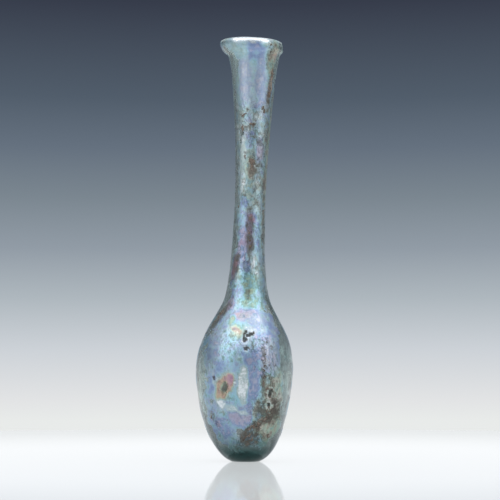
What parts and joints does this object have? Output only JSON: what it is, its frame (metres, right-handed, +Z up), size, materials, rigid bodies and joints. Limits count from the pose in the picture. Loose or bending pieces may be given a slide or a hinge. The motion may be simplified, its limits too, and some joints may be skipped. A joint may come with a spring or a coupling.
{
  "type": "roman glass unguentarium",
  "caption": "Tall free-blown glass scent flask: egg-shaped body on a small flat foot, long leaning neck, rounded lip and an iridescent weathered surface.",
  "frame": {"origin": "centre of the flat foot that the flask stands on", "axes": "+Z up along the flask, from the foot to the mouth; +X is the side that the neck leans towards"},
  "size_m": [0.0368, 0.0368, 0.1604],
  "materials": {
    "weathered_glass": "translucent blue-green glass under a pearly iridescent weathering film, satin gloss, with brown earth in patches"
  },
  "bodies": {
    "root": {"glass_flask": "weathered_glass"}
  },
  "joints": []
}
